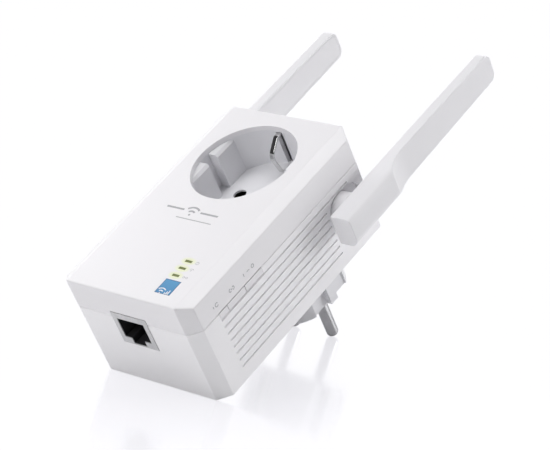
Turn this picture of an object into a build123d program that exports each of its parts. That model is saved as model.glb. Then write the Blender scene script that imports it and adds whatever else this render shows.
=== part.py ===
from build123d import *
import math
import os

# Wall-plug wifi range extender with a pass-through earthed socket, an Ethernet port and two
# hinged antennas. Millimetres. The origin is the centre of the plug's face, midway between the
# two pins. +Z runs up the body, +Y out along the pins into the wall, and +X to the side that
# carries the buttons.

# Body envelope
BODY_WIDTH = 62.4
BODY_HEIGHT = 102.0
BODY_DEPTH = 44.2
PLUG_LENGTH = 21.0
BOTTOM_Z = -74.3
TOP_Z = BOTTOM_Z + BODY_HEIGHT
REAR_Y = -PLUG_LENGTH
FRONT_Y = REAR_Y - BODY_DEPTH
SEAM_Y = FRONT_Y + 12.85
SIDE_X = BODY_WIDTH / 2
FACE_X = 26.4
BEVEL_DROP = 2.5
CORNER_RISE = 4.35
EDGE_RADIUS = 0.6
SEAM_CHAMFER = 0.28
WALL = 2.0
INNER_X = SIDE_X - WALL
COVER_INNER_Y = FRONT_Y + WALL
REAR_INNER_Y = REAR_Y - WALL

# Earthed two-pin plug and socket
PIN_X = 9.5
PIN_RADIUS = 2.4
PIN_LENGTH = 19.0
PIN_TIP_FILLET = 1.9
PLUG_RADIUS = 19.0
SOCKET_RADIUS = 20.85
SOCKET_DEPTH = 17.5
CUP_WALL = 1.75
CUP_FLOOR = 2.0
SOCKET_FLOOR_Y = FRONT_Y + SOCKET_DEPTH
CUP_BACK_Y = SOCKET_FLOOR_Y + CUP_FLOOR
CONTACT_END_Y = -27.6
KEY_INNER_X = 16.4
KEY_LOW_Z, KEY_HIGH_Z = 2.5, 13.2
KEY_LEAD_IN = 1.0
EARTH_WIDTH = 2.2
EARTH_THICKNESS = 0.8
EARTH_ROUNDING = 0.3
EARTH_SLOT_Y = FRONT_Y + 2.6

# Antennas, hinged about X on both sides
HINGE_Y = FRONT_Y + 23.5
HINGE_Z = 9.2
ANTENNA_INNER_X = SIDE_X + 4.6
BASE_THICKNESS = 9.0
BLADE_THICKNESS = 4.4
ANTENNA_LOW_Z = -2.0
ANTENNA_TOP_Z = 98.4
SCOOP_LOW_Z, SCOOP_HIGH_Z = 26.0, 38.9
TAPER_LOW_Z = SCOOP_HIGH_Z + 1.0
BASE_HALF_WIDTH = 6.5
TIP_HALF_WIDTH = 5.9
TIP_FILLET = 3.3
FRONT_EDGE_FILLET = 2.6
REAR_EDGE_FILLET = 4.5
ANTENNA_EDGE_RADIUS = 0.35
SHELL_WALL = 1.2
COVER_PLATE = 1.1
BOSS_RADIUS = 6.5
NECK_RADIUS = 4.2
NECK_END_X = 24.4
POCKET_FLOOR_X = SIDE_X - 1.8
PAD_INNER_X = POCKET_FLOOR_X - 2.2
POCKET_RADIUS = 7.0
POCKET_TOP_Z = 13.7
CLIP_GROOVE_X = 25.85
CLIP_GROOVE_RADIUS = 3.6
CLIP_GROOVE_WIDTH = 0.7
COAX_RADIUS = 0.6

# Vent grooves along both sides
GROOVE_Y = FRONT_Y + 16.0
GROOVE_PITCH = 3.15
GROOVE_COUNT = 8
GROOVE_WIDTH = 0.8
GROOVE_DEPTH = 0.9
GROOVE_LOW_Z = BOTTOM_Z + 13.1
GROOVE_TOP_Z = 1.2

# Buttons: name, low and high Z of the cap's place, travel
BUTTON_PLACES = {
    "reset": (GROOVE_LOW_Z, GROOVE_LOW_Z + 4.8, 0.5),
    "wps": (GROOVE_LOW_Z + 4.8, GROOVE_LOW_Z + 15.0, 0.5),
    "power": (GROOVE_LOW_Z + 15.0, GROOVE_LOW_Z + 25.1, 1.6),
}
BUTTON_FRONT_Y = SEAM_Y
BUTTON_REAR_Y = GROOVE_Y - GROOVE_WIDTH / 2
BUTTON_Y = (BUTTON_FRONT_Y + BUTTON_REAR_Y) / 2
BUTTON_GAP = 0.14
STEM_END_X = 26.9
SWITCH_FACE_X = 25.0
PLUNGER_RADIUS = 1.2

# Ethernet port in the bottom end
PORT_X = -0.9
PORT_WIDTH = 17.4
PORT_FRONT_Y = FRONT_Y + 10.5
PORT_REAR_Y = FRONT_Y + 25.0
PORT_CAVITY_WIDTH = 13.0
PORT_CAVITY_FRONT_Y = FRONT_Y + 13.1
PORT_CAVITY_REAR_Y = FRONT_Y + 21.9
LATCH_REAR_Y = FRONT_Y + 24.4
LATCH_WIDTH = 6.3
PORT_DEPTH = 17.0
PORT_LOW_Z = BOTTOM_Z - 0.2
SHIELD_THICKNESS = 0.35
CONTACT_COUNT, CONTACT_PITCH = 8, 1.02

# Front marks
LED_X = 15.4
LED_ZS = (BOTTOM_Z + 22.2, BOTTOM_Z + 18.5, BOTTOM_Z + 14.7)
LED_WIDTH, LED_HEIGHT = 3.1, 1.0
LABEL_X = 16.5
LABEL_Z = BOTTOM_Z + 8.8
LABEL_SIZE = 7.1
LABEL_DEPTH = 0.3

# Circuit boards
BOARD_HALF_WIDTH = 26.3
BOARD_LOW_Z, BOARD_TOP_Z = BOTTOM_Z + 2.5, -25.8
MAIN_BOARD_Y = (PORT_FRONT_Y - 1.25, PORT_FRONT_Y - 0.05)
POWER_BOARD_Y = (-31.0, -29.4)
BOARD_NOTCH = (6.6, 8.2)

# Case screws
POST_X = 24.6
POST_ZS = (BOTTOM_Z + 5.7, TOP_Z - 5.7)
POST_RADIUS = 4.0
SCREW_TIP_Y = -58.5
SCREW_SEAT_Y = -31.0
SCREW_RADIUS = 1.3
SCREW_HEAD_RADIUS, SCREW_HEAD_HEIGHT = 2.6, 1.8
DRIVE_SLOT = 0.7

# Plug flange and its screws, inside the rear housing
FLANGE_THICKNESS = 2.0
FLANGE_FRONT_Y = REAR_INNER_Y - FLANGE_THICKNESS - 0.05
PLUG_SCREW_X, PLUG_SCREW_Z = 23.4, 9.5
PLUG_SCREW_RADIUS = 1.05
PLUG_SCREW_HEAD_RADIUS, PLUG_SCREW_HEAD_HEIGHT = 3.1, 1.6
STRAP_Y = -26.2
STRAP_Z = 16.2

AXES = {"X": (1, 0, 0), "Y": (0, 1, 0), "Z": (0, 0, 1)}


def block(x, y, z):
    """A box that spans three (low, high) ranges."""
    spans = (x, y, z)
    middle = [(low + high) / 2 for low, high in spans]
    return Pos(*middle) * Box(*[high - low for low, high in spans])


def rod(start, radius, length, axis):
    """A round bar from its start point along one of the three axes."""
    low_end = (Align.CENTER, Align.CENTER, Align.MIN)
    return Plane(origin=start, z_dir=AXES[axis]) * Cylinder(radius, length, align=low_end)


def prism(points, axis, start, end):
    """An outline in the plane across an axis, drawn from start to end along that axis."""
    place = {
        "X": lambda a, b: (start, a, b),
        "Y": lambda a, b: (a, start, b),
        "Z": lambda a, b: (a, b, start),
    }[axis]
    outline = make_face(Polyline(*[place(a, b) for a, b in points], close=True))
    return extrude(outline, amount=end - start, dir=AXES[axis])


def lead(points, radius, bend_radii):
    """A round lead along straight runs joined by tangent arcs."""
    path = FilletPolyline(*points, radius=bend_radii)
    section = Plane(origin=path @ 0, z_dir=path % 0) * Circle(radius)
    return sweep(section, path=path)


def mirrored(shape):
    """The same shape on the other side of the body."""
    return mirror(shape, about=Plane.YZ)


def write(name, shape):
    """One file for one named piece."""
    solids = shape.solids()
    piece = Compound(children=list(solids)) if len(solids) > 1 else solids[0]
    export_step(piece, f"parts/{name}.step")


# ---------------------------------------------------------------- case


def envelope(inset, front, rear):
    """The body's outer form, or its hollow when inset: bevelled front edges and cut corners."""
    low, high = BOTTOM_Z + inset, TOP_Z - inset
    side = SIDE_X - inset
    # A face offset inward moves each cut's ends by the wall times the tangent of half its turn.
    corner_turn = math.atan2(SIDE_X - FACE_X, CORNER_RISE)
    bevel_turn = math.atan2(BEVEL_DROP, SIDE_X - FACE_X)
    corner_x = FACE_X - inset * math.tan((math.pi / 2 - corner_turn) / 2)
    corner_z = CORNER_RISE - inset + inset * math.tan(corner_turn / 2)
    bevel_x = FACE_X - inset * math.tan(bevel_turn / 2)
    bevel_y = BEVEL_DROP - inset + inset * math.tan((math.pi / 2 - bevel_turn) / 2)
    plan = [
        (corner_x, low), (side, low + corner_z), (side, high - corner_z), (corner_x, high),
        (-corner_x, high), (-side, high - corner_z), (-side, low + corner_z), (-corner_x, low),
    ]
    face = FRONT_Y + inset
    section = [
        (bevel_x, face), (side, face + bevel_y), (side, rear), (-side, rear),
        (-side, face + bevel_y), (-bevel_x, face),
    ]
    return prism(plan, "Y", front, rear) & prism(section, "Z", low, high)


def case_half(front, rear):
    """The rounded outer form between two depths, with a fine chamfer where the halves meet."""
    whole = envelope(0, FRONT_Y, REAR_Y)
    rounded = fillet(whole.edges(), EDGE_RADIUS)
    half = rounded & block((-SIDE_X - 1, SIDE_X + 1), (front, rear), (BOTTOM_Z - 1, TOP_Z + 1))
    rim = half.edges().filter_by_position(Axis.Y, SEAM_Y - 0.01, SEAM_Y + 0.01)
    return chamfer(rim, SEAM_CHAMFER)


def square_hole(x, z, width, height, end_y):
    """What is cut from the front face for a lamp or the label."""
    return block(
        (x - width / 2, x + width / 2), (FRONT_Y - 1, end_y), (z - height / 2, z + height / 2)
    )


def post_points():
    """Where the four case screws stand."""
    return [(x, z) for x in (-POST_X, POST_X) for z in POST_ZS]


def port_cutout():
    """The rectangular window for the Ethernet jack, shared by both halves of the case."""
    clear = 0.12
    half = PORT_WIDTH / 2 + clear
    return block(
        (PORT_X - half, PORT_X + half),
        (PORT_FRONT_Y - clear, PORT_REAR_Y + clear),
        (BOTTOM_Z - 1, BOTTOM_Z + WALL + 1),
    )


def front_cover():
    """The front half of the case, with the socket's round opening and screw posts."""
    cover = case_half(FRONT_Y - 1, SEAM_Y) - envelope(WALL, COVER_INNER_Y, SEAM_Y)
    for x, z in post_points():
        length = SEAM_Y - COVER_INNER_Y + 0.5
        post = rod((x, COVER_INNER_Y - 0.5, z), POST_RADIUS - 0.6, length, "Y")
        cover += post & envelope(1.0, FRONT_Y, SEAM_Y)
    for x, z in post_points():
        cover -= rod((x, COVER_INNER_Y + 1, z), SCREW_RADIUS + 0.02, SEAM_Y - COVER_INNER_Y, "Y")
    cover -= rod((0, FRONT_Y - 1, 0), SOCKET_RADIUS, WALL + 2, "Y")
    cover -= port_cutout()
    for z in LED_ZS:
        cover -= square_hole(LED_X, z, LED_WIDTH + 0.16, LED_HEIGHT + 0.16, COVER_INNER_Y + 1)
    recess = LABEL_SIZE + 0.1
    return cover - square_hole(LABEL_X, LABEL_Z, recess, recess, FRONT_Y + LABEL_DEPTH)


def stadium(radius, low_z, high_z, x_low, x_high):
    """A round-ended slot shape along Z, drawn along X at the hinge's depth."""
    middle = block((x_low, x_high), (HINGE_Y - radius, HINGE_Y + radius), (low_z, high_z))
    for z in (low_z, high_z):
        middle += rod((x_low, HINGE_Y, z), radius, x_high - x_low, "X")
    return middle


def side_grooves():
    """The vent grooves of the +X side; the foremost one runs on up to the hinge pocket."""
    half, root_half, root_x = GROOVE_WIDTH / 2, 0.15, SIDE_X - GROOVE_DEPTH
    grooves = []
    for index in range(GROOVE_COUNT):
        y = GROOVE_Y + index * GROOVE_PITCH
        top = HINGE_Z + BOSS_RADIUS if index == 0 else GROOVE_TOP_Z
        profile = [
            (SIDE_X + 0.5, y - half), (SIDE_X + 0.5, y + half), (SIDE_X, y + half),
            (root_x, y + root_half), (root_x, y - root_half), (SIDE_X, y - half),
        ]
        grooves.append(prism(profile, "Z", GROOVE_LOW_Z, top))
    return grooves


def rear_housing():
    """The rear half of the case: hinge pockets, vent grooves, button windows and the plug's opening."""
    shell = case_half(SEAM_Y, REAR_Y + 1) - envelope(WALL, SEAM_Y, REAR_INNER_Y)
    for x, z in post_points():
        post = rod((x, SEAM_Y, z), POST_RADIUS, REAR_INNER_Y - SEAM_Y + 0.5, "Y")
        shell += post & envelope(1.0, SEAM_Y, REAR_Y)
    for x, z in post_points():
        shell -= rod((x, SEAM_Y - 1, z), SCREW_RADIUS + 0.3, BODY_DEPTH, "Y")
        shell -= rod((x, SCREW_SEAT_Y, z), SCREW_HEAD_RADIUS + 0.3, BODY_DEPTH, "Y")
    pad = stadium(POCKET_RADIUS + 2, HINGE_Z, POCKET_TOP_Z, PAD_INNER_X, INNER_X + 0.5)
    pocket = stadium(POCKET_RADIUS, HINGE_Z, POCKET_TOP_Z, POCKET_FLOOR_X, SIDE_X + 1)
    bore = rod((PAD_INNER_X - 1, HINGE_Y, HINGE_Z), NECK_RADIUS + 0.06, 8.0, "X")
    for side in (lambda shape: shape, mirrored):
        shell += side(pad)
        shell -= side(pocket)
        shell -= side(bore)
        for groove in side_grooves():
            shell -= side(groove)
    for low, high, _ in BUTTON_PLACES.values():
        shell -= block((INNER_X - 1, SIDE_X + 1), (SEAM_Y - 1, BUTTON_REAR_Y), (low, high))
    shell -= port_cutout()
    shell -= rod((0, REAR_INNER_Y - 1, 0), PLUG_RADIUS + 0.12, WALL + 2, "Y")
    for x, z in plug_screw_points():
        shell += rod((x, FLANGE_FRONT_Y, z), 2.2, FLANGE_THICKNESS + 0.5, "Y")
    for x, z in plug_screw_points():
        shell -= rod((x, FLANGE_FRONT_Y - 1, z), PLUG_SCREW_RADIUS + 0.05, 3.95, "Y")
    return shell


def cross_drive(x, z, y_range, reach):
    """The crossed slots cut into a screw's head."""
    half = DRIVE_SLOT / 2
    upright = block((x - half, x + half), y_range, (z - reach, z + reach))
    return upright + block((x - reach, x + reach), y_range, (z - half, z + half))


def case_screws():
    """Four long screws, driven from the rear."""
    head_end = SCREW_SEAT_Y + SCREW_HEAD_HEIGHT
    screws = []
    for x, z in post_points():
        screw = rod((x, SCREW_TIP_Y, z), SCREW_RADIUS, SCREW_SEAT_Y - SCREW_TIP_Y, "Y")
        screw += rod((x, SCREW_SEAT_Y, z), SCREW_HEAD_RADIUS, SCREW_HEAD_HEIGHT, "Y")
        screw -= cross_drive(x, z, (head_end - 1.0, head_end + 1.0), 1.8)
        screws.append(screw.solids()[0])
    return Compound(children=screws)


# ---------------------------------------------------------------- socket


def socket_cup():
    """The round recess: keyed side guides, pin holes in the floor and slots for the earth springs."""
    length = CUP_BACK_Y - COVER_INNER_Y
    cup = rod((0, COVER_INNER_Y, 0), SOCKET_RADIUS + CUP_WALL, length, "Y")
    cup += rod((0, COVER_INNER_Y, 0), SOCKET_RADIUS + 3.6, 1.8, "Y")
    cup -= rod((0, COVER_INNER_Y - 1, 0), SOCKET_RADIUS, SOCKET_FLOOR_Y - COVER_INNER_Y + 1, "Y")
    key_start = COVER_INNER_Y + 0.3
    ring = rod((0, key_start, 0), SOCKET_RADIUS + 0.5, SOCKET_FLOOR_Y - key_start + 0.5, "Y")
    profile = [
        (KEY_INNER_X + KEY_LEAD_IN, key_start),
        (SOCKET_RADIUS + 1, key_start),
        (SOCKET_RADIUS + 1, CUP_BACK_Y),
        (KEY_INNER_X, CUP_BACK_Y),
        (KEY_INNER_X, key_start + KEY_LEAD_IN),
    ]
    for low in (KEY_LOW_Z, -KEY_HIGH_Z):
        key = prism(profile, "Z", low, low + KEY_HIGH_Z - KEY_LOW_Z) & ring
        cup += key
        cup += mirrored(key)
    for x in (-PIN_X, PIN_X):
        cup -= rod((x, SOCKET_FLOOR_Y - 1, 0), 2.6, CUP_FLOOR + 2, "Y")
        cup -= rod((x, SOCKET_FLOOR_Y + 0.9, 0), 3.4, CUP_FLOOR, "Y")
    slot_half = EARTH_WIDTH / 2 + 0.45
    for z_range in ((19.0, 25.0), (-25.0, -19.0)):
        cup -= block((-slot_half, slot_half), (EARTH_SLOT_Y, SOCKET_FLOOR_Y), z_range)
    return cup


def earth_spring_half(sign):
    """One side of the earth spring's route, from the middle of its bridge to the end of its leaf."""
    bridge_y = CUP_BACK_Y + 0.2 + EARTH_THICKNESS / 2
    outer_z = SOCKET_RADIUS + CUP_WALL + 0.3 + EARTH_THICKNESS / 2
    step_y = EARTH_SLOT_Y + 0.2 + EARTH_THICKNESS / 2
    valley_y, leaf_end_y = FRONT_Y + 8.4, SOCKET_FLOOR_Y - 0.8
    route = [
        (bridge_y, outer_z), (step_y, outer_z), (step_y, 18.9), (valley_y, 12.7), (leaf_end_y, 15.0)
    ]
    return [(0, y, sign * z) for y, z in route]


def strip(points, bend_radii, width):
    """A bent metal strip along a route in the X = 0 plane."""
    path = FilletPolyline(*points, radius=bend_radii)
    start = Plane(origin=path @ 0, x_dir=AXES["X"], z_dir=path % 0)
    section = RectangleRounded(width, EARTH_THICKNESS, EARTH_ROUNDING)
    return sweep(start * section, path=path)


def socket_earth_bracket():
    """One bent strip: a bridge behind the cup and a sprung leaf through each slot."""
    route = earth_spring_half(-1)[::-1] + earth_spring_half(1)
    half_bends = [4.0, 0.9, 0.9, 1.2]
    return strip(route, half_bends + half_bends[::-1], EARTH_WIDTH)


def pin_contact(x):
    """A split sleeve behind one pin hole, closed where it meets the plug pin."""
    start = SOCKET_FLOOR_Y + 1.1
    length = CONTACT_END_Y - start
    sleeve = rod((x, start, 0), 3.3, length, "Y")
    sleeve += block((x - 1.6, x + 1.6), (CONTACT_END_Y - 3.2, CONTACT_END_Y), (-7.0, -2.8))
    sleeve -= rod((x, start - 1, 0), PIN_RADIUS + 0.05, length - 0.2, "Y")
    return sleeve - block((x - 0.4, x + 0.4), (start - 1, CONTACT_END_Y - 5), (0, 5))


def mains_lead(x):
    """An insulated wire from a contact's tab down to the power board."""
    tab_y = CONTACT_END_Y - 1.6
    foot_y = POWER_BOARD_Y[0]
    down_y = foot_y - 3.0
    route = [(tab_y, -7.0), (tab_y, -13.0), (down_y, -22.0), (down_y, -29.0), (foot_y, -29.0)]
    return lead([(x, y, z) for y, z in route], 0.9, [6.0, 4.0, 2.0])


# ---------------------------------------------------------------- plug


def plug_screw_points():
    """Where the plug's flange is fastened inside the rear housing."""
    return [(x, z) for x in (-PLUG_SCREW_X, PLUG_SCREW_X) for z in (-PLUG_SCREW_Z, PLUG_SCREW_Z)]


def plug_outline(start_y, end_y):
    """The round plug body with its keyed sides and earth grooves."""
    body = rod((0, start_y, 0), PLUG_RADIUS, end_y - start_y, "Y")
    cut_y = (start_y - 1, end_y + 1)
    key_cuts = ((15.6, (2.0, 9.8)), (15.6, (-9.8, -2.0)), (18.1, (-2.5, 2.5)))
    for depth_x, z_range in key_cuts:
        cut = block((depth_x, PLUG_RADIUS + 1), cut_y, z_range)
        body -= cut
        body -= mirrored(cut)
    for z_range in ((STRAP_Z, PLUG_RADIUS + 1), (-PLUG_RADIUS - 1, -STRAP_Z)):
        body -= block((-3.2, 3.2), cut_y, z_range)
    return body


def plug_base():
    """The hollow plug moulding, with a flange inside the case and a boss round each pin."""
    body = plug_outline(REAR_INNER_Y - 0.05, 0)
    body = chamfer(body.faces().sort_by(Axis.Y)[-1].edges(), 0.7)
    flange = rod((0, FLANGE_FRONT_Y, 0), 22.4, FLANGE_THICKNESS, "Y")
    flange_y = (FLANGE_FRONT_Y, FLANGE_FRONT_Y + FLANGE_THICKNESS)
    flange += block((-25.8, 25.8), flange_y, (-13.0, 13.0))
    base = body + flange
    cut_start = FLANGE_FRONT_Y - 1
    hollow = rod((0, cut_start, 0), 15.6, PLUG_LENGTH, "Y")
    base -= hollow & block((-13.8, 13.8), (cut_start, -2.4), (-14.2, 14.2))
    for x in (-PIN_X, PIN_X):
        base += rod((x, FLANGE_FRONT_Y, 0), 4.2, -2.0 - FLANGE_FRONT_Y, "Y")
    for x in (-PIN_X, PIN_X):
        base -= rod((x, cut_start, 0), PIN_RADIUS, PLUG_LENGTH + 9, "Y")
    for x, z in plug_screw_points():
        base -= rod((x, cut_start, z), 2.35, 4, "Y")
    for z_range in ((14.0, 17.2), (-17.2, -14.0)):
        base -= block((-2.4, 2.4), (cut_start, REAR_INNER_Y + 0.5), z_range)
    return base


def plug_pin(x):
    """A solid plated pin with a shoulder behind its boss and a rounded tip."""
    shank = rod((x, CONTACT_END_Y, 0), PIN_RADIUS, PIN_LENGTH - CONTACT_END_Y, "Y")
    shank = fillet(shank.edges().sort_by(Axis.Y)[-1], PIN_TIP_FILLET)
    return shank + rod((x, REAR_INNER_Y - 3.6, 0), 3.6, 1.5, "Y")


def plug_earth_strap():
    """One bent strip with a contact in each of the plug's earth grooves."""
    arm_z, end_y = STRAP_Z + EARTH_THICKNESS / 2, -3.4
    route = [(0, end_y, -arm_z), (0, STRAP_Y, -arm_z), (0, STRAP_Y, arm_z), (0, end_y, arm_z)]
    return strip(route, 1.0, 4.2)


def earth_link():
    """The post that joins the socket's earth bracket to the plug's earth strap."""
    start = CUP_BACK_Y + 0.2 + EARTH_THICKNESS
    return rod((0, start, 0), 1.8, STRAP_Y - EARTH_THICKNESS / 2 - start, "Y")


def plug_base_screws():
    """Four short screws that clamp the plug's flange to the rear housing."""
    head_start = FLANGE_FRONT_Y - PLUG_SCREW_HEAD_HEIGHT
    screws = []
    for x, z in plug_screw_points():
        screw = rod((x, FLANGE_FRONT_Y, z), PLUG_SCREW_RADIUS, 2.8, "Y")
        screw += rod((x, head_start, z), PLUG_SCREW_HEAD_RADIUS, PLUG_SCREW_HEAD_HEIGHT, "Y")
        screw -= cross_drive(x, z, (head_start - 1.0, head_start + 0.8), 1.7)
        screws.append(screw.solids()[0])
    return Compound(children=screws)


# ---------------------------------------------------------------- Ethernet port


def port_block(inset, low_z):
    """The jack's outer block, or the block inside its shield when inset."""
    return block(
        (PORT_X - PORT_WIDTH / 2 + inset, PORT_X + PORT_WIDTH / 2 - inset),
        (PORT_FRONT_Y + inset, PORT_REAR_Y - inset),
        (low_z, PORT_LOW_Z + PORT_DEPTH),
    )


def port_mouth():
    """The room for the plug and its latch, 14 mm deep."""
    half, latch_half = PORT_CAVITY_WIDTH / 2, LATCH_WIDTH / 2
    mouth_x, latch_x = (PORT_X - half, PORT_X + half), (PORT_X - latch_half, PORT_X + latch_half)
    span = (PORT_LOW_Z - 1, PORT_LOW_Z + 14.0)
    mouth = block(mouth_x, (PORT_CAVITY_FRONT_Y, PORT_CAVITY_REAR_Y), span)
    return mouth + block(latch_x, (PORT_CAVITY_REAR_Y - 1, LATCH_REAR_Y), span)


def ethernet_jack():
    """The jack's moulded housing, with a keyed mouth for the plug and its latch."""
    return port_block(SHIELD_THICKNESS, PORT_LOW_Z + SHIELD_THICKNESS) - port_mouth()


def ethernet_shield():
    """The bent metal shield round the jack, with the mouth cut out of its face."""
    inner = port_block(SHIELD_THICKNESS, PORT_LOW_Z + SHIELD_THICKNESS)
    return port_block(0, PORT_LOW_Z) - inner - port_mouth()


def ethernet_contacts():
    """Eight sprung wires that slope up from the mouth's front wall."""
    wall_y = PORT_CAVITY_FRONT_Y
    profile = [
        (wall_y, BOTTOM_Z + 2.2), (wall_y, BOTTOM_Z + 1.8),
        (wall_y + 2.0, BOTTOM_Z + 10.8), (wall_y + 1.7, BOTTOM_Z + 11.0),
    ]
    wires = []
    for index in range(CONTACT_COUNT):
        x = PORT_X + (index - (CONTACT_COUNT - 1) / 2) * CONTACT_PITCH
        wires.append(prism(profile, "X", x - 0.22, x + 0.22).solids()[0])
    return Compound(children=wires)


# ---------------------------------------------------------------- boards and what they carry


def board(y_range):
    """A circuit board with its lower corners cut out round the screw posts."""
    plate = block((-BOARD_HALF_WIDTH, BOARD_HALF_WIDTH), y_range, (BOARD_LOW_Z, BOARD_TOP_Z))
    cut_x, cut_z = BOARD_NOTCH
    corner = block(
        (BOARD_HALF_WIDTH - cut_x, BOARD_HALF_WIDTH + 1), (y_range[0] - 1, y_range[1] + 1),
        (BOARD_LOW_Z - 1, BOARD_LOW_Z + cut_z),
    )
    return plate - corner - mirrored(corner)


def on_main_front(x_range, z_range, height):
    """A chip or can on the main board's front side."""
    return block(x_range, (MAIN_BOARD_Y[0] - height, MAIN_BOARD_Y[0]), z_range)


def shield_can():
    """A thin open-backed metal can over the radio."""
    left, right, bottom, top = -20.5, -2.0, -65.0, -50.0
    height, skin = 2.6, 0.3
    can = on_main_front((left, right), (bottom, top), height)
    room_x, room_z = (left + skin, right - skin), (bottom + skin, top - skin)
    return can - on_main_front(room_x, room_z, height - skin)


def light_pipes():
    """Three clear bars that carry the lamps' light to the front face."""
    x_range, y_range = (LED_X - LED_WIDTH / 2, LED_X + LED_WIDTH / 2), (FRONT_Y, MAIN_BOARD_Y[0] - 0.8)
    half = LED_HEIGHT / 2
    pipes = [block(x_range, y_range, (z - half, z + half)).solids()[0] for z in LED_ZS]
    return Compound(children=pipes)


def status_leds():
    """Three surface-mounted lamps behind the light pipes."""
    x_range = (LED_X - 1.6, LED_X + 1.6)
    lamps = [on_main_front(x_range, (z - 0.8, z + 0.8), 0.7).solids()[0] for z in LED_ZS]
    return Compound(children=lamps)


def transformer():
    """A ferrite-cored switching transformer with its winding between two cheeks."""
    top, foot = -46.6, POWER_BOARD_Y[0]
    window_x, window_z = (-4.5, 6.5), (-46.5, -36.5)
    core = block((-7.0, 9.0), (top, foot - 2.0), (-50.0, -33.0))
    core -= block(window_x, (top - 1, foot), window_z)
    winding = block(window_x, (top + 1.5, foot - 2.0), window_z)
    bobbin = block((-7.5, 9.5), (foot - 2.0, foot), (-50.5, -32.5))
    return core + winding + bobbin


def capacitor(x, z, radius, height):
    """A can capacitor standing on the power board."""
    can = rod((x, POWER_BOARD_Y[0] - height, z), radius, height, "Y")
    return fillet(can.edges().sort_by(Axis.Y)[0], 0.6)


def bulk_capacitors():
    """The pair of mains-side capacitors."""
    return Compound(children=[capacitor(-18.5, z, 4.9, 15.0).solids()[0] for z in (-32.0, -43.0)])


def emi_choke():
    """A drum choke with a waist."""
    x, z, top = 2.0, -61.0, POWER_BOARD_Y[0] - 8.0
    drum = rod((x, top, z), 4.5, 8.0, "Y")
    waist = rod((x, top + 1.5, z), 6.0, 5.0, "Y") - rod((x, top + 1.0, z), 3.8, 6.0, "Y")
    return drum - waist


def board_link_pins():
    """Two square pins that carry the low voltage from the power board to the main board."""
    span = (MAIN_BOARD_Y[1], POWER_BOARD_Y[0])
    pins = [block((-24.5, -23.7), span, (z - 0.4, z + 0.4)).solids()[0] for z in (-59.0, -56.5)]
    return Compound(children=pins)


# ---------------------------------------------------------------- buttons


def button(low, high):
    """A cap flush in the side wall, with a retaining flange and a stem to its switch."""
    z_range = (low + BUTTON_GAP, high - BUTTON_GAP)
    cap_y = (BUTTON_FRONT_Y + BUTTON_GAP, BUTTON_REAR_Y - BUTTON_GAP)
    flange_y = (BUTTON_FRONT_Y - 0.5, BUTTON_REAR_Y + 0.7)
    cap = block((INNER_X - 0.2, SIDE_X), cap_y, z_range)
    flange = block((INNER_X - 1.2, INNER_X - 0.2), flange_y, z_range)
    stem_start = (STEM_END_X, BUTTON_Y, (low + high) / 2)
    return cap + flange + rod(stem_start, 1.0, INNER_X - 1.0 - STEM_END_X, "X")


def plunger(low, high):
    """The switch's own push rod, which moves with the button."""
    start = SWITCH_FACE_X - 0.6
    return rod((start, BUTTON_Y, (low + high) / 2), PLUNGER_RADIUS, STEM_END_X - start, "X")


def side_switch(low, high, travel, half_height):
    """A right-angle switch on the main board's rear side, bored for its push rod."""
    middle_z = (low + high) / 2
    body = block(
        (SWITCH_FACE_X - 4.2, SWITCH_FACE_X), (MAIN_BOARD_Y[1], BUTTON_Y + 2.6),
        (middle_z - half_height, middle_z + half_height),
    )
    depth = travel + 0.9
    bore_start = (SWITCH_FACE_X - depth, BUTTON_Y, middle_z)
    return body - rod(bore_start, PLUNGER_RADIUS + 0.05, depth + 1, "X")


# ---------------------------------------------------------------- antennas, modelled on the +X side


def hinge_rod(start_x, radius, end_x):
    """A round bar on the hinge's axis."""
    return rod((start_x, HINGE_Y, HINGE_Z), radius, end_x - start_x, "X")


def antenna_form(inset):
    """The antenna's outer form: a thick rounded base, a scooped step and a thin blade."""
    low, high = ANTENNA_LOW_Z + inset, ANTENNA_TOP_Z - inset
    outer_x = ANTENNA_INNER_X + BASE_THICKNESS - inset
    blade_x = ANTENNA_INNER_X + BLADE_THICKNESS - inset
    base_half, tip_half = BASE_HALF_WIDTH - inset, TIP_HALF_WIDTH - inset
    plan = prism(
        [
            (HINGE_Y - base_half, low), (HINGE_Y + base_half, low), (HINGE_Y + base_half, TAPER_LOW_Z),
            (HINGE_Y + tip_half, high), (HINGE_Y - tip_half, high), (HINGE_Y - base_half, TAPER_LOW_Z),
        ],
        "X", ANTENNA_INNER_X, outer_x,
    )
    tip_edges = plan.edges().filter_by(Axis.X).sort_by(Axis.Z)[-2:]
    plan = fillet(tip_edges, TIP_FILLET - inset)
    return (plan & rounded_bar(inset, outer_x)) - scoop(blade_x, outer_x)


def rounded_bar(inset, outer_x):
    """A bar along Z with the antenna's section, whose two outer corners are rounded."""
    half = BASE_HALF_WIDTH - inset
    front, rear = HINGE_Y - half, HINGE_Y + half
    corners = [(ANTENNA_INNER_X, front), (outer_x, front), (outer_x, rear), (ANTENNA_INNER_X, rear)]
    low_z = ANTENNA_LOW_Z - 1
    section = make_face(Polyline(*[(x, y, low_z) for x, y in corners], close=True))
    for place, radius in ((0, FRONT_EDGE_FILLET), (-1, REAR_EDGE_FILLET)):
        outer_corners = section.vertices().group_by(Axis.X)[-1].sort_by(Axis.Y)
        section = fillet(outer_corners[place], radius - inset)
    return extrude(section, amount=ANTENNA_TOP_Z + 1 - low_z, dir=AXES["Z"])


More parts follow.
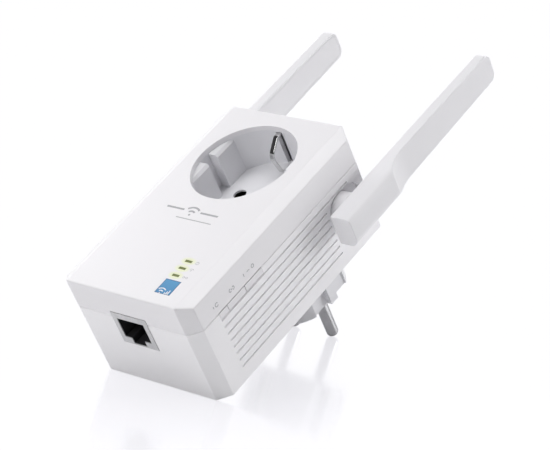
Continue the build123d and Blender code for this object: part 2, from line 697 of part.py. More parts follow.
def scoop(blade_x, outer_x):
    """What is cut from the outer face: a concave curve down to the blade, then the blade's flat face."""
    drop, rise = outer_x - blade_x, SCOOP_HIGH_Z - SCOOP_LOW_Z
    radius = (drop ** 2 + rise ** 2) / (2 * drop)
    middle_angle = math.asin(rise / radius) / 2
    y = HINGE_Y - 20
    middle_x = blade_x + radius * (1 - math.cos(middle_angle))
    middle_z = SCOOP_HIGH_Z - radius * math.sin(middle_angle)
    start, end = (outer_x, y, SCOOP_LOW_Z), (blade_x, y, SCOOP_HIGH_Z)
    far_x, far_z = outer_x + 5, ANTENNA_TOP_Z + 5
    curve = ThreePointArc(start, (middle_x, y, middle_z), end)
    rest = Polyline(end, (blade_x, y, far_z), (far_x, y, far_z), (far_x, y, SCOOP_LOW_Z), start)
    return extrude(make_face([curve, rest]), amount=40, dir=AXES["Y"])


def antenna_shell():
    """The outer shell, open on its inner side."""
    outer = fillet(antenna_form(0).edges(), ANTENNA_EDGE_RADIUS)
    return outer - antenna_form(SHELL_WALL)


def antenna_cover():
    """The inner plate that closes the shell, with the hinge boss and its hollow neck."""
    plate_x = (ANTENNA_INNER_X, ANTENNA_INNER_X + COVER_PLATE)
    plate = antenna_form(SHELL_WALL + 0.08) & block(plate_x, (-80, 0), (-10, 110))
    boss = hinge_rod(POCKET_FLOOR_X + 0.2, BOSS_RADIUS, ANTENNA_INNER_X)
    neck = hinge_rod(NECK_END_X, NECK_RADIUS, ANTENNA_INNER_X)
    groove = hinge_rod(CLIP_GROOVE_X, NECK_RADIUS + 2, CLIP_GROOVE_X + CLIP_GROOVE_WIDTH)
    groove -= hinge_rod(CLIP_GROOVE_X - 1, CLIP_GROOVE_RADIUS, CLIP_GROOVE_X + 2)
    return plate + boss + neck - groove - hinge_rod(NECK_END_X - 1, 2 * COAX_RADIUS, SIDE_X + 14)


def antenna_clip():
    """The split ring that holds the neck in the case."""
    start, end = CLIP_GROOVE_X + 0.05, CLIP_GROOVE_X + CLIP_GROOVE_WIDTH - 0.05
    ring = hinge_rod(start, 5.6, end) - hinge_rod(start - 1, CLIP_GROOVE_RADIUS + 0.02, end + 1)
    return ring - block((start - 1, end + 1), (HINGE_Y - 1.6, HINGE_Y + 1.6), (HINGE_Z - 8, HINGE_Z))


def antenna_washer():
    """The washer whose drag holds the antenna where it is put."""
    start, end = CLIP_GROOVE_X + CLIP_GROOVE_WIDTH, PAD_INNER_X - 0.15
    return hinge_rod(start, 6.4, end) - hinge_rod(start - 1, NECK_RADIUS + 0.05, end + 1)


def antenna_radiator():
    """The printed dipole inside the blade."""
    return block((37.3, 38.1), (HINGE_Y - 3.6, HINGE_Y + 3.6), (20.0, 92.0))


def antenna_feed():
    """The lead inside the antenna, from the hinge's axis to the radiator."""
    route = [(34.2, HINGE_Z), (40.2, HINGE_Z), (40.2, 17.0), (38.7, 24.0)]
    return lead([(x, HINGE_Y, z) for x, z in route], COAX_RADIUS, [2.4, 3.0])


def coax_lead():
    """The lead inside the case, from the main board into the hinge's bore."""
    points = [
        (20.0, -54.1, -27.5), (24.6, -53.0, -20.0), (26.2, -49.0, -9.0), (21.0, -43.5, 0.0),
        (16.6, HINGE_Y, 8.0), (24.0, HINGE_Y, HINGE_Z), (33.8, HINGE_Y, HINGE_Z),
    ]
    return lead(points, COAX_RADIUS, [4.0, 4.0, 3.5, 2.2, 8.0])


# ---------------------------------------------------------------- files


def build_pieces():
    """Every piece by its node name."""
    pieces = {
        "front_cover": front_cover(),
        "rear_housing": rear_housing(),
        "case_screws": case_screws(),
        "socket_cup": socket_cup(),
        "socket_earth_bracket": socket_earth_bracket(),
        "live_contact": pin_contact(PIN_X),
        "neutral_contact": pin_contact(-PIN_X),
        "live_lead": mains_lead(PIN_X),
        "neutral_lead": mains_lead(-PIN_X),
        "plug_base": plug_base(),
        "plug_base_screws": plug_base_screws(),
        "plug_pin_live": plug_pin(PIN_X),
        "plug_pin_neutral": plug_pin(-PIN_X),
        "plug_earth_strap": plug_earth_strap(),
        "earth_link_post": earth_link(),
        "ethernet_jack": ethernet_jack(),
        "ethernet_shield": ethernet_shield(),
        "ethernet_contacts": ethernet_contacts(),
        "ethernet_transformer": block(
            (-9.0, 5.0), (MAIN_BOARD_Y[1], MAIN_BOARD_Y[1] + 4.2), (-54.0, -46.0)
        ),
        "main_board": board(MAIN_BOARD_Y),
        "processor": on_main_front((-12.0, 2.0), (-46.0, -32.0), 1.2),
        "shield_can": shield_can(),
        "status_leds": status_leds(),
        "light_pipes": light_pipes(),
        "power_board": board(POWER_BOARD_Y),
        "insulation_sheet": block((-25.0, 25.0), (-47.4, -47.0), (-56.0, -26.5)),
        "transformer": transformer(),
        "bulk_capacitors": bulk_capacitors(),
        "output_capacitor": capacitor(17.0, -60.0, 4.0, 11.0),
        "mains_fuse": rod((-17.0, POWER_BOARD_Y[0] - 2.3, -61.0), 2.2, 8.5, "X"),
        "emi_choke": emi_choke(),
        "board_link_pins": board_link_pins(),
        "signal_label": block(
            (LABEL_X - LABEL_SIZE / 2, LABEL_X + LABEL_SIZE / 2), (FRONT_Y, FRONT_Y + LABEL_DEPTH),
            (LABEL_Z - LABEL_SIZE / 2, LABEL_Z + LABEL_SIZE / 2),
        ),
        "rear_label": block((-19.0, 19.0), (REAR_Y, REAR_Y + 0.15), (-62.0, -30.0)),
    }
    for name, (low, high, travel) in BUTTON_PLACES.items():
        pieces[f"{name}_button"] = button(low, high)
        pieces[f"{name}_plunger"] = plunger(low, high)
        pieces[f"{name}_switch"] = side_switch(low, high, travel, 2.3 if name == "reset" else 3.2)
    right_side = {
        "shell": antenna_shell(),
        "hinge_cover": antenna_cover(),
        "hinge_clip": antenna_clip(),
        "hinge_washer": antenna_washer(),
        "radiator": antenna_radiator(),
        "feed": antenna_feed(),
        "coax_lead": coax_lead(),
    }
    for name, shape in right_side.items():
        pieces[f"antenna_right_{name}"] = shape
        pieces[f"antenna_left_{name}"] = mirrored(shape)
    return pieces


os.makedirs("parts", exist_ok=True)
for node, piece in build_pieces().items():
    write(node, piece)
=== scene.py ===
import math

import bmesh
import bpy
from mathutils import Matrix, Vector


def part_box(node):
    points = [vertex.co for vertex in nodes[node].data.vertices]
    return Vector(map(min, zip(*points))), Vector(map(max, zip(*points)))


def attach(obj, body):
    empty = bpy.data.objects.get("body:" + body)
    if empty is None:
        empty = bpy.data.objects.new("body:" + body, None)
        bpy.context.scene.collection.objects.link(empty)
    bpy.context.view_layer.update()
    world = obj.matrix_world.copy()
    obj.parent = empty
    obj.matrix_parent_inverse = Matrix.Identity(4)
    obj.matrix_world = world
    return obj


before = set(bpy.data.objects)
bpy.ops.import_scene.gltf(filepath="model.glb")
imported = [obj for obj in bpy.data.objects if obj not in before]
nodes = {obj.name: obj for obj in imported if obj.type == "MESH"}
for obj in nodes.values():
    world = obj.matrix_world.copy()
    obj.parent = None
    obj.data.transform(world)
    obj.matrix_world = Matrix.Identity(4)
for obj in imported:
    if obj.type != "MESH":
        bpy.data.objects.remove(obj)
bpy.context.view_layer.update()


# ---------------------------------------------------------------- camera, floor, light

CAMERA_AT = Vector((0.52147, -0.50257, -0.41511))
CAMERA_RIGHT = Vector((0.7506, 0.3200, 0.5781))
CAMERA_DOWN = Vector((0.1692, 0.7527, -0.6362))
CAMERA_AHEAD = Vector((-0.6387, 0.5753, 0.5109))
LENS_MM = 142.8

# The object leans on its lower rear edge and on the rounded tips of its pins, and the floor
# touches both.
FLOOR_UP = Vector((0.0, -0.8763, 0.4818)).normalized()
FLOOR_TOUCH = Vector((0.0, -0.0218, -0.0737))
FLOOR_AHEAD = (CAMERA_AHEAD - FLOOR_UP * CAMERA_AHEAD.dot(FLOOR_UP)).normalized()
FLOOR_RIGHT = FLOOR_AHEAD.cross(FLOOR_UP).normalized()
# The direction in which the camera's view leaves the floor when it is mirrored.
MIRRORED_AHEAD = CAMERA_AHEAD - 2 * CAMERA_AHEAD.dot(FLOOR_UP) * FLOOR_UP


def basis(x, y, z, at):
    """A placement from three axes and a point."""
    matrix = Matrix((x, y, z)).transposed().to_4x4()
    matrix.translation = at
    return matrix


def make_camera():
    data = bpy.data.cameras.new("camera")
    data.lens = LENS_MM
    data.sensor_width = 36.0
    data.clip_start = 0.01
    camera = bpy.data.objects.new("camera", data)
    camera.matrix_world = basis(CAMERA_RIGHT, -CAMERA_DOWN, -CAMERA_AHEAD, CAMERA_AT)
    bpy.context.scene.collection.objects.link(camera)
    bpy.context.scene.camera = camera


LIGHTS_AROUND = Vector((0.0, -0.03, 0.0))


def make_light(name, right, ahead, up, size, power):
    """A soft disc placed by its distances from the object along the floor's own directions."""
    away = FLOOR_RIGHT * right + FLOOR_AHEAD * ahead + FLOOR_UP * up
    data = bpy.data.lights.new(name, "AREA")
    data.shape = "DISK"
    data.size = size
    data.energy = power
    light = bpy.data.objects.new(name, data)
    light.matrix_world = away.to_track_quat("Z", "Y").to_matrix().to_4x4()
    light.location = LIGHTS_AROUND + away
    light.visible_camera = False
    bpy.context.scene.collection.objects.link(light)


def map_range(tree, factor, from_range, to_range):
    """A factor's range mapped to another, clamped at both ends."""
    made = tree.nodes.new("ShaderNodeMapRange")
    made.inputs["From Min"].default_value, made.inputs["From Max"].default_value = from_range
    made.inputs["To Min"].default_value, made.inputs["To Max"].default_value = to_range
    tree.links.new(factor, made.inputs["Value"])
    return made


# The strength of the world: seen directly or in the floor, as light on the object, as light
# from the camera's side, and as a metal mirrors it.
WORLD_WHITE = 1.03
WORLD_LIGHT = 0.42
DARK_ROOM = 0.0
WORLD_MIRRORED = 0.06
# How closely a direction has to meet the mirrored view or the camera, as cosines.
WHITE_PATCH = (0.72, 0.88)
ROOM_EDGE = (0.35, 0.85)


def make_world():
    """White where the camera or the floor sees it, and a grey that is dark on the camera's side."""
    world = bpy.data.worlds.new("studio")
    world.use_nodes = True
    tree = world.node_tree
    tree.nodes.clear()
    path = tree.nodes.new("ShaderNodeLightPath")
    direction = tree.nodes.new("ShaderNodeTexCoord")

    def toward(axis):
        made = tree.nodes.new("ShaderNodeVectorMath")
        made.operation = "DOT_PRODUCT"
        made.inputs[1].default_value = axis
        tree.links.new(direction.outputs["Generated"], made.inputs[0])
        return made.outputs["Value"]

    def math(operation, first, second):
        made = tree.nodes.new("ShaderNodeMath")
        made.operation = operation
        tree.links.new(first, made.inputs[0])
        tree.links.new(second, made.inputs[1])
        return made.outputs[0]

    patch = map_range(tree, toward(MIRRORED_AHEAD), WHITE_PATCH, (0, 1)).outputs["Result"]
    mirrored = math("MULTIPLY", path.outputs["Is Glossy Ray"], patch)
    white = math("MAXIMUM", path.outputs["Is Camera Ray"], mirrored)
    room = map_range(tree, toward(-CAMERA_AHEAD), ROOM_EDGE, (WORLD_LIGHT, DARK_ROOM))
    level = map_range(tree, path.outputs["Is Glossy Ray"], (0, 1), (0, WORLD_MIRRORED))
    tree.links.new(room.outputs["Result"], level.inputs["To Min"])
    seen = tree.nodes.new("ShaderNodeBackground")
    seen.inputs["Color"].default_value = (1, 1, 1, 1)
    seen.inputs["Strength"].default_value = WORLD_WHITE
    lit = tree.nodes.new("ShaderNodeBackground")
    lit.inputs["Color"].default_value = (0.985, 0.975, 1.0, 1)
    tree.links.new(level.outputs["Result"], lit.inputs["Strength"])
    mix = tree.nodes.new("ShaderNodeMixShader")
    out = tree.nodes.new("ShaderNodeOutputWorld")
    tree.links.new(white, mix.inputs[0])
    tree.links.new(lit.outputs[0], mix.inputs[1])
    tree.links.new(seen.outputs[0], mix.inputs[2])
    tree.links.new(mix.outputs[0], out.inputs[0])
    bpy.context.scene.world = world


FLOOR_HALF = 3.0
FLOOR_GAP = 0.0008
FLOOR_GLOW = 1.1
FLOOR_GLOSS = 0.34
FLOOR_GLOSS_ROUGHNESS = 0.16
# The reflection fades out over this stretch in front of the object, in metres along the floor.
FLOOR_FADE = (-0.13, -0.01)


def floor_material():
    """A glowing white with a fading reflection for the camera, plain white for light."""
    material = bpy.data.materials.new("floor_white")
    material.use_nodes = True
    tree = material.node_tree
    shader = tree.nodes["Principled BSDF"]
    shader.inputs["Base Color"].default_value = (0.86, 0.86, 0.87, 1)
    shader.inputs["Roughness"].default_value = 0.32
    glow = tree.nodes.new("ShaderNodeEmission")
    glow.inputs["Color"].default_value = (1.0, 0.995, 1.035, 1)
    glow.inputs["Strength"].default_value = FLOOR_GLOW
    gloss = tree.nodes.new("ShaderNodeBsdfGlossy")
    gloss.inputs["Roughness"].default_value = FLOOR_GLOSS_ROUGHNESS
    path = tree.nodes.new("ShaderNodeLightPath")
    side = tree.nodes.new("ShaderNodeNewGeometry")
    clear = tree.nodes.new("ShaderNodeBsdfTransparent")
    place = tree.nodes.new("ShaderNodeTexCoord")
    split = tree.nodes.new("ShaderNodeSeparateXYZ")
    tree.links.new(place.outputs["Object"], split.inputs[0])
    fade = map_range(tree, split.outputs["Y"], FLOOR_FADE, (0, FLOOR_GLOSS))
    seen, solid, whole = (tree.nodes.new("ShaderNodeMixShader") for _ in range(3))
    mixes = (
        (seen, fade.outputs["Result"], glow, gloss),
        (solid, path.outputs["Is Camera Ray"], shader, seen),
        (whole, side.outputs["Backfacing"], solid, clear),
    )
    for mix, factor, first, second in mixes:
        tree.links.new(factor, mix.inputs[0])
        tree.links.new(first.outputs[0], mix.inputs[1])
        tree.links.new(second.outputs[0], mix.inputs[2])
    tree.links.new(whole.outputs[0], tree.nodes["Material Output"].inputs[0])
    return material


def make_floor():
    """The white floor under the object."""
    mesh = bpy.data.meshes.new("floor")
    corners = [(-1, -1), (1, -1), (1, 1), (-1, 1)]
    mesh.from_pydata([(x * FLOOR_HALF, y * FLOOR_HALF, 0) for x, y in corners], [], [(0, 1, 2, 3)])
    mesh.materials.append(floor_material())
    floor = bpy.data.objects.new("floor", mesh)
    at = FLOOR_TOUCH - FLOOR_UP * FLOOR_GAP
    floor.matrix_world = basis(FLOOR_RIGHT, FLOOR_AHEAD, FLOOR_UP, at)
    bpy.context.scene.collection.objects.link(floor)


make_camera()
make_world()
make_floor()
# Distances to the right, ahead and up, then the disc's size and its power.
make_light("top_box", 0.0, -0.1, 1.0, 0.6, 3.75)
make_light("right_box", 1.0, 0.1, 0.3, 0.7, 4.7)
make_light("left_front_box", -0.8, -0.7, 0.6, 0.6, 4.9)
make_light("left_back_box", -0.7, 0.8, 0.6, 0.6, 3.7)
bpy.context.scene.view_settings.view_transform = "Standard"


# ---------------------------------------------------------------- materials


# Cycles per metre of slow colour drift, of smudges in the gloss and of the moulded grain.
DRIFT_SCALE, SMUDGE_SCALE, GRAIN_SCALE = 14.0, 90.0, 2600.0


class Shade:
    """A node material under construction: one Principled shader and helpers that add to it."""

    def __init__(self, name, color, roughness, metallic=0.0):
        self.material = bpy.data.materials.new(name)
        self.material.use_nodes = True
        self.tree = self.material.node_tree
        self.shader = self.tree.nodes["Principled BSDF"]
        self.shader.inputs["Metallic"].default_value = metallic
        self.place = self.node("ShaderNodeTexCoord").outputs["Object"]
        self.color = color
        self.roughness = roughness

    def node(self, kind, **settings):
        made = self.tree.nodes.new(kind)
        for key, value in settings.items():
            setattr(made, key, value)
        return made

    def link(self, source, target):
        self.tree.links.new(source, target)

    def noise(self, scale, detail=3.0, rough=0.55, stretch=(1, 1, 1)):
        """Noise over the object's own coordinates; scale is in cycles per metre."""
        mapping = self.node("ShaderNodeMapping")
        mapping.inputs["Scale"].default_value = stretch
        self.link(self.place, mapping.inputs["Vector"])
        noise = self.node("ShaderNodeTexNoise")
        noise.inputs["Scale"].default_value = scale
        noise.inputs["Detail"].default_value = detail
        noise.inputs["Roughness"].default_value = rough
        self.link(mapping.outputs[0], noise.inputs["Vector"])
        return noise.outputs["Fac"]

    def ramp(self, factor, low, high, out_low, out_high):
        """A factor's range mapped to another."""
        made = self.node("ShaderNodeMapRange")
        made.inputs["From Min"].default_value = low
        made.inputs["From Max"].default_value = high
        made.inputs["To Min"].default_value = out_low
        made.inputs["To Max"].default_value = out_high
        self.link(factor, made.inputs["Value"])
        return made.outputs["Result"]

    def mix(self, factor, first, second):
        """A colour mix; first and second are colours or sockets."""
        made = self.node("ShaderNodeMix", data_type="RGBA")
        self.link(factor, made.inputs[0])
        for value, socket in ((first, made.inputs[6]), (second, made.inputs[7])):
            if isinstance(value, tuple):
                socket.default_value = (*value, 1)
            else:
                self.link(value, socket)
        return made.outputs[2]

    def math(self, operation, a, b=0.0):
        made = self.node("ShaderNodeMath", operation=operation)
        for value, socket in ((a, made.inputs[0]), (b, made.inputs[1])):
            if isinstance(value, (int, float)):
                socket.default_value = value
            else:
                self.link(value, socket)
        return made.outputs[0]

    def axes(self):
        split = self.node("ShaderNodeSeparateXYZ")
        self.link(self.place, split.inputs[0])
        return split.outputs

    def bump(self, height, distance):
        made = self.node("ShaderNodeBump")
        made.inputs["Distance"].default_value = distance
        made.inputs["Strength"].default_value = 1.0
        self.link(height, made.inputs["Height"])
        self.link(made.outputs[0], self.shader.inputs["Normal"])

    def finish(self, grain_height=0.00001, drift=0.02, rough_drift=0.06):
        """Slow colour drift, cloudy roughness and a fine moulded or cast grain."""
        broad = self.noise(DRIFT_SCALE, 2.0)
        if isinstance(self.color, tuple):
            darker = tuple(max(0.0, c * (1 - drift)) for c in self.color)
            lighter = tuple(min(1.0, c * (1 + drift)) for c in self.color)
            self.color = self.mix(self.ramp(broad, 0.3, 0.7, 0, 1), darker, lighter)
        self.link(self.color, self.shader.inputs["Base Color"])
        smudge = self.noise(SMUDGE_SCALE, 4.0, 0.65)
        low, high = self.roughness - rough_drift, self.roughness + rough_drift
        self.link(self.ramp(smudge, 0.3, 0.7, low, high), self.shader.inputs["Roughness"])
        self.bump(self.noise(GRAIN_SCALE, 2.0, 0.6), grain_height)
        return self.material


def set_ior(shade, level):
    """How strongly a plastic's surface reflects."""
    shade.shader.inputs["Specular IOR Level"].default_value = level
    return shade


def plastic(name, color, roughness, gloss, grain_height):
    """White moulded plastic: a calm colour, slightly cloudy gloss and a fine grain."""
    shade = set_ior(Shade(name, color, roughness), gloss)
    return shade.finish(drift=0.006, rough_drift=0.025, grain_height=grain_height)


# Each lamp's height, and the half width and half height of the painted glow round it, in metres.
LAMP_COUNT = 3
LAMP_HEIGHT = 0.001
HALO_WIDE, HALO_HIGH = 0.003, 0.0017


def cover_material():
    """The cover's white plastic, with the light that leaks into it round each lamp painted into its
    colour as a pale glow.
    """
    # The second colour is the painted glow of the lamps' light, mixed in round each lamp.
    white, painted_glow_color = (0.88, 0.87, 0.89), (0.86, 0.9, 0.56)
    low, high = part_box("light_pipes")
    pitch = (high.z - low.z - LAMP_HEIGHT) / (LAMP_COUNT - 1)
    shade = set_ior(Shade("cover_white", white, 0.3), 0.5)
    x, _, z = shade.axes()

    def squared_distance(axis, centre, half):
        steps = shade.math("DIVIDE", shade.math("SUBTRACT", axis, centre), half)
        return shade.math("MULTIPLY", steps, steps)

    across = squared_distance(x, (low.x + high.x) / 2, HALO_WIDE)
    glow = 0.0
    for index in range(LAMP_COUNT):
        centre = low.z + LAMP_HEIGHT / 2 + index * pitch
        reach = shade.math("ADD", across, squared_distance(z, centre, HALO_HIGH))
        glow = shade.math("MAXIMUM", glow, shade.ramp(reach, 0.4, 1.5, 0.75, 0.0))
    shade.color = shade.mix(glow, white, painted_glow_color)
    return shade.finish(drift=0.006, rough_drift=0.025, grain_height=0.000006)


# The rear housing's white is lighter than the real plastic: painted light that brightens it in
# place of light thrown back by the floor.
case_white_painted_light = plastic("case_white_painted_light", (0.965, 0.958, 0.975), 0.36, 0.45, 0.00001)
cover_white = cover_material()
socket_white = plastic("socket_white", (0.832, 0.831, 0.855), 0.33, 0.45, 0.000006)
key_white = plastic("key_white", (0.86, 0.85, 0.87), 0.4, 0.45, 0.00001)
aerial_white = plastic("aerial_white", (0.84, 0.835, 0.855), 0.38, 0.45, 0.00001)


def metal(name, color, roughness, stretch):
    """Plated metal with drawn streaks along one direction."""
    shade = Shade(name, color, roughness, metallic=1.0)
    streak = shade.noise(900.0, 4.0, 0.6, stretch)
    duller = tuple(c * 0.9 for c in color)
    shade.color = shade.mix(shade.ramp(streak, 0.35, 0.7, 0, 1), duller, color)
    shade.link(shade.color, shade.shader.inputs["Base Color"])
    low, high = roughness * 0.7, roughness * 1.4
    smudge = shade.ramp(shade.noise(300.0, 4.0), 0.3, 0.7, low, high)
    shade.link(smudge, shade.shader.inputs["Roughness"])
    shade.bump(streak, 0.000004)
    return shade.material


pin_nickel = metal("pin_nickel", (0.6, 0.6, 0.615), 0.12, (1.0, 0.06, 1.0))
spring_nickel = metal("spring_nickel", (0.7, 0.7, 0.7), 0.09, (0.2, 1.0, 1.0))
shield_steel = metal("shield_steel", (0.72, 0.72, 0.73), 0.42, (1.0, 1.0, 0.2))
screw_steel = metal("screw_steel", (0.5, 0.5, 0.51), 0.34, (1.0, 1.0, 1.0))
contact_gold = metal("contact_gold", (0.85, 0.62, 0.28), 0.24, (1.0, 1.0, 0.1))
# The contacts are coloured nearly black: painted shade for the depth of the socket's holes, not the
# bronze's own colour.
contact_painted_shade = metal("contact_painted_shade", (0.05, 0.042, 0.034), 0.5, (1.0, 0.2, 1.0))
pin_brass = metal("pin_brass", (0.72, 0.55, 0.28), 0.3, (1.0, 0.2, 1.0))

dark_mould = Shade("dark_mould", (0.022, 0.022, 0.025), 0.45).finish(drift=0.15)
part_black = Shade("part_black", (0.03, 0.03, 0.034), 0.5).finish(drift=0.2)
board_green = Shade("board_green", (0.02, 0.13, 0.06), 0.35).finish(drift=0.25)
tape_yellow = Shade("tape_yellow", (0.6, 0.42, 0.06), 0.4).finish(drift=0.1)
sleeve_navy = Shade("sleeve_navy", (0.02, 0.03, 0.08), 0.3).finish(drift=0.1)
fuse_lacquer = Shade("fuse_lacquer", (0.1, 0.22, 0.12), 0.35).finish(drift=0.1)
film_clear = Shade("film_clear", (0.6, 0.58, 0.5), 0.4).finish(drift=0.05)
lead_black = Shade("lead_black", (0.02, 0.02, 0.02), 0.5).finish(drift=0.2)
lead_brown = Shade("lead_brown", (0.12, 0.05, 0.02), 0.5).finish(drift=0.1)
lead_blue = Shade("lead_blue", (0.02, 0.07, 0.35), 0.5).finish(drift=0.1)
label_grey = Shade("label_grey", (0.62, 0.625, 0.64), 0.5).finish(grain_height=0.000003)


def ink(name, color, roughness, drift):
    """A thin printed layer."""
    return Shade(name, color, roughness).finish(drift=drift, grain_height=0.000002)


print_grey = ink("print_grey", (0.42, 0.42, 0.44), 0.55, 0.05)
print_pale = ink("print_pale", (0.5, 0.5, 0.52), 0.55, 0.05)
print_white = ink("print_white", (0.9, 0.9, 0.9), 0.5, 0.02)

# The dark rim starts and is complete at these distances in from the label's edge.
RIM_INNER, RIM_OUTER = 0.00035, 0.0002


def label_blue_material():
    """Printed film: mid blue, a little lighter towards its upper edge, with a darker rim."""
    low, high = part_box("signal_label")
    shade = Shade("label_blue", (0.04, 0.25, 0.62), 0.38)
    x, _, z = shade.axes()
    across = shade.math("ABSOLUTE", shade.math("SUBTRACT", x, (low.x + high.x) / 2))
    along = shade.math("ABSOLUTE", shade.math("SUBTRACT", z, (low.z + high.z) / 2))
    edge = shade.math("MAXIMUM", across, along)
    half = (high.x - low.x) / 2
    rise = shade.ramp(z, low.z, high.z, 0, 1)
    body = shade.mix(rise, (0.043, 0.245, 0.5), (0.063, 0.305, 0.58))
    rim = shade.ramp(edge, half - RIM_INNER, half - RIM_OUTER, 0, 1)
    shade.color = shade.mix(rim, body, (0.03, 0.12, 0.28))
    return shade.finish(grain_height=0.000003)


def lamp_material(name, color, glow):
    """Clear resin with a faint light of its own."""
    shade = Shade(name, color, 0.25)
    shade.shader.inputs["Emission Color"].default_value = (*color, 1)
    shade.shader.inputs["Emission Strength"].default_value = glow
    return shade.finish(drift=0.08, grain_height=0.000002)


light_pipe = lamp_material("light_pipe", (0.16, 0.19, 0.06), 0.12)
lamp_resin = lamp_material("lamp_resin", (0.6, 0.75, 0.2), 0.8)

FINISHES = {
    cover_white: ["front_cover"],
    case_white_painted_light: ["rear_housing"],
    key_white: ["reset_button", "wps_button", "power_button"],
    socket_white: ["socket_cup", "plug_base", "earth_link_post"],
    aerial_white: [],
    pin_nickel: ["plug_pin_live", "plug_pin_neutral"],
    spring_nickel: ["socket_earth_bracket", "plug_earth_strap"],
    shield_steel: ["shield_can", "ethernet_shield"],
    screw_steel: ["case_screws", "plug_base_screws"],
    contact_gold: ["ethernet_contacts"],
    contact_painted_shade: ["live_contact", "neutral_contact"],
    pin_brass: ["board_link_pins"],
    dark_mould: ["ethernet_jack"],
    part_black: ["processor", "ethernet_transformer", "emi_choke"],
    board_green: ["main_board", "power_board"],
    tape_yellow: ["transformer"],
    sleeve_navy: ["bulk_capacitors", "output_capacitor"],
    fuse_lacquer: ["mains_fuse"],
    film_clear: ["insulation_sheet"],
    lead_black: [],
    lead_brown: ["live_lead"],
    lead_blue: ["neutral_lead"],
    label_grey: ["rear_label"],
    label_blue_material(): ["signal_label"],
    light_pipe: ["light_pipes"],
    lamp_resin: ["status_leds"],
}
for key in ("reset", "wps", "power"):
    FINISHES[part_black].extend([f"{key}_switch", f"{key}_plunger"])
for aerial in ("antenna_right", "antenna_left"):
    FINISHES[aerial_white].extend([f"{aerial}_shell", f"{aerial}_hinge_cover"])
    FINISHES[screw_steel].append(f"{aerial}_hinge_clip")
    FINISHES[part_black].append(f"{aerial}_hinge_washer")
    FINISHES[board_green].append(f"{aerial}_radiator")
    FINISHES[lead_black].extend([f"{aerial}_coax_lead", f"{aerial}_feed"])

for material, names in FINISHES.items():
    for name in names:
        slots = nodes[name].data.materials
        slots.clear()
        slots.append(material)


# ---------------------------------------------------------------- printed marks

# The ink stands this far off its surface, and its root lies this far inside it.
INK = 0.00003
INK_ROOT = 0.00002
MM = 0.001
front_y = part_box("front_cover")[0].y
side_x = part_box("front_cover")[1].x
label_rear_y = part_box("rear_label")[1].y


def on_front(u, v, height):
    """Millimetres across and up the front face, at a height off it in metres."""
    return Vector((u * MM, front_y - height, v * MM))


def on_side(u, v, height):
    """Millimetres up the body and back from its front, on the +X side."""
    return Vector((side_x + height, front_y + v * MM, u * MM))


def on_rear_label(u, v, height):
    """Millimetres across and up the rear label."""
    return Vector((u * MM, label_rear_y + height, v * MM))


def arc(u, v, radius, start, end, steps=14):
    """Points along a circle's arc, by angles in degrees."""
    turns = [math.radians(start + (end - start) * i / steps) for i in range(steps + 1)]
    return [(u + radius * math.cos(t), v + radius * math.sin(t)) for t in turns]


def bar(u, v, length, lean=0.0):
    """A straight stroke's two ends, centred on a point and turned by degrees."""
    du = math.cos(math.radians(lean)) * length / 2
    dv = math.sin(math.radians(lean)) * length / 2
    return [(u - du, v - dv), (u + du, v + dv)]


def ribbon(mesh, points, width, place):
    """A closed, slightly raised ribbon of ink along a line of points."""
    rings = []
    for index, (u, v) in enumerate(points):
        before, after = points[max(index - 1, 0)], points[min(index + 1, len(points) - 1)]
        along = Vector((after[0] - before[0], after[1] - before[1])).normalized()
        out_u, out_v = -along.y * width / 2, along.x * width / 2
        corners = ((1, -INK_ROOT), (1, INK), (-1, INK), (-1, -INK_ROOT))
        rings.append([mesh.verts.new(place(u + s * out_u, v + s * out_v, h)) for s, h in corners])
    for first, second in zip(rings, rings[1:]):
        for k in range(4):
            mesh.faces.new((first[k], first[(k + 1) % 4], second[(k + 1) % 4], second[k]))
    mesh.faces.new(rings[0])
    mesh.faces.new(rings[-1])


def marks(name, strokes, place, material):
    """One printed piece made of several strokes, each a line of points and a width."""
    mesh = bmesh.new()
    for points, width in strokes:
        ribbon(mesh, points, width, place)
    bmesh.ops.recalc_face_normals(mesh, faces=mesh.faces)
    data = bpy.data.meshes.new(name)
    mesh.to_mesh(data)
    mesh.free()
    data.materials.append(material)
    piece = bpy.data.objects.new(name, data)
    bpy.context.scene.collection.objects.link(piece)
    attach(piece, "body")


def signal(u, v, size, width):
    """A dot under two arcs, the common sign for a radio signal."""
    dot = (arc(u, v, width * 0.3, 0, 360, 12), width * 0.6)
    inner = (arc(u, v, size * 0.5, 45, 135), width)
    return [dot, inner, (arc(u, v, size, 45, 135), width)]


def ring(u, v, radius):
    return arc(u, v, radius, 0, 360)


# Beside the lamps: power, radio signal and network link, from the top.
POWER_Z, SIGNAL_Z, LINK_Z = -52.1, -55.8, -59.6
LAMP_SIGN_X = 19.6
FINE = 0.2
LINK_LINE = 0.18
power_sign = [
    (arc(LAMP_SIGN_X, POWER_Z, 0.65, 120, 420), FINE),
    (bar(LAMP_SIGN_X, POWER_Z + 0.5, 0.7, 90), FINE),
]
link_sign = [
    (ring(LAMP_SIGN_X - 0.4, LINK_Z, 0.38), LINK_LINE),
    (bar(LAMP_SIGN_X + 0.3, LINK_Z, 0.6), LINK_LINE),
    (ring(LAMP_SIGN_X + 1.0, LINK_Z, 0.38), LINK_LINE),
]
lamp_signs = power_sign + signal(LAMP_SIGN_X + 0.1, SIGNAL_Z - 0.6, 1.3, FINE) + link_sign
marks("lamp_signs", lamp_signs, on_front, print_pale)

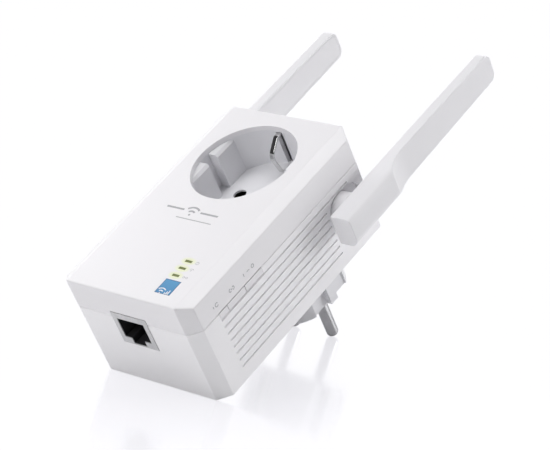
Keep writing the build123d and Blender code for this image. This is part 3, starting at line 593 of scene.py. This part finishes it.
# Under the socket: a signal sign between two bars, over a thin line.
EMBLEM_X, EMBLEM_Z = -1.8, -29.0
BOLD = 0.8
emblem = signal(EMBLEM_X, EMBLEM_Z - 2.0, 3.9, BOLD)
emblem += [(bar(EMBLEM_X + side * 8.2, EMBLEM_Z, 8.4), BOLD) for side in (-1, 1)]
emblem.append((bar(EMBLEM_X + 3.8, EMBLEM_Z - 4.2, 17.0), 0.35))
marks("front_emblem", emblem, on_front, print_grey)

# On the blue label: a signal sign and three rising bars.
LABEL_LINE = 0.42
label_mark = signal(15.2, -68.8, 2.3, LABEL_LINE)
for step in range(3):
    column = bar(17.4 + 0.75 * step, -68.9 + 0.35 * (step + 1), 0.7 * (step + 1), 90)
    label_mark.append((column, LABEL_LINE))
marks("label_mark", label_mark, on_front, print_white)

# Beside the keys: an open ring and a bar, two links of a chain, and on and off.
RESET_Z, PAIR_Z, SWITCH_Z = -60.4, -51.8, -42.0
SIDE_LINE = 0.28
PAIR_LINE = 0.3
reset_sign = [
    (arc(RESET_Z, 9.1, 0.75, 30, 330), SIDE_LINE),
    (bar(RESET_Z - 1.8, 9.1, 1.0, 90), SIDE_LINE),
]
pair_sign = [
    (arc(PAIR_Z - 0.8, 9.4, 0.6, 60, 300), PAIR_LINE),
    (arc(PAIR_Z + 0.8, 9.4, 0.6, -120, 120), PAIR_LINE),
    (bar(PAIR_Z, 9.4, 0.9), PAIR_LINE),
]
switch_sign = [
    (bar(SWITCH_Z - 2.6, 9.2, 1.3, 90), SIDE_LINE),
    (bar(SWITCH_Z, 9.2, 1.6), 0.24),
    (ring(SWITCH_Z + 2.6, 9.2, 0.65), SIDE_LINE),
]
marks("side_signs", reset_sign + pair_sign + switch_sign, on_side, print_grey)

# On the rear label: a frame with three blank lines.
LABEL_MARGIN = 1.2
FRAME_LINE = 0.25
label_low, label_high = (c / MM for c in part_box("rear_label"))
left, right = label_low.x + LABEL_MARGIN, label_high.x - LABEL_MARGIN
bottom, top = label_low.z + LABEL_MARGIN, label_high.z - LABEL_MARGIN
wide, tall = right - left, top - bottom
frame_lines = [(bar(0, z, wide), FRAME_LINE) for z in (bottom, top)]
frame_lines += [(bar(x, (bottom + top) / 2, tall, 90), FRAME_LINE) for x in (left, right)]
frame_lines += [(bar(0, bottom + tall * quarter / 4, wide - 4), 0.15) for quarter in (1, 2, 3)]
marks("rear_label_lines", frame_lines, on_rear_label, print_grey)
